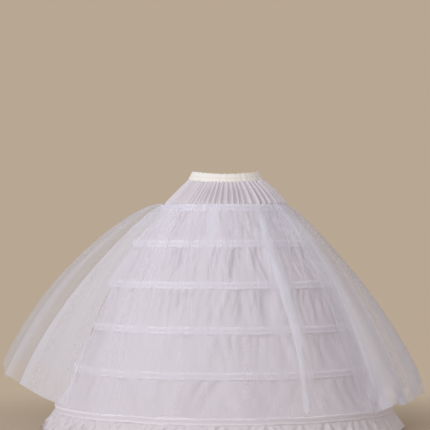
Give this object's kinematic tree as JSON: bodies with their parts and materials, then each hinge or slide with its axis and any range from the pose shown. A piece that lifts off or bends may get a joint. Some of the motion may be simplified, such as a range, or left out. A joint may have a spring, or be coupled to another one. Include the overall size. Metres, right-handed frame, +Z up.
{
  "type": "hooped petticoat",
  "caption": "White hooped petticoat: sprung-steel hoops in sewn casings, gathered cloth tiers, a hem ruffle and a sheer net overskirt, worn at the waist to hold a gown out.",
  "frame": {"origin": "on the axis, at the middle of the waistband's height", "axes": "+Z up along the axis of the waist, -Y the front, +X the wearer's left as seen on the right from the front"},
  "size_m": [1.4234, 1.2471, 0.852],
  "materials": {
    "waist_elastic": "woven elastic, warm white",
    "skirt_taffeta": "plain woven lining cloth, cool white, slight sheen",
    "casing_tape": "folded cotton tape, two rows of stitches",
    "net": "sheer nylon net",
    "hoop_steel": "spring steel in white plastic coating",
    "sleeve_steel": "crimped sheet steel"
  },
  "bodies": {
    "root": {"waistband": "waist_elastic", "yoke": "skirt_taffeta", "tier_1": "skirt_taffeta", "tier_2": "skirt_taffeta", "tier_3": "skirt_taffeta", "tier_4": "skirt_taffeta", "tier_5": "skirt_taffeta", "hem_ruffle": "skirt_taffeta", "casing_1": "casing_tape", "casing_2": "casing_tape", "casing_3": "casing_tape", "casing_4": "casing_tape", "casing_5": "casing_tape", "casing_6": "casing_tape", "hoop_1": "hoop_steel", "hoop_2": "hoop_steel", "hoop_3": "hoop_steel", "hoop_4": "hoop_steel", "hoop_5": "hoop_steel", "hoop_6": "hoop_steel", "hoop_sleeve_1": "sleeve_steel", "hoop_sleeve_2": "sleeve_steel", "hoop_sleeve_3": "sleeve_steel", "hoop_sleeve_4": "sleeve_steel", "hoop_sleeve_5": "sleeve_steel", "hoop_sleeve_6": "sleeve_steel", "net_overskirt": "net"}
  },
  "joints": []
}
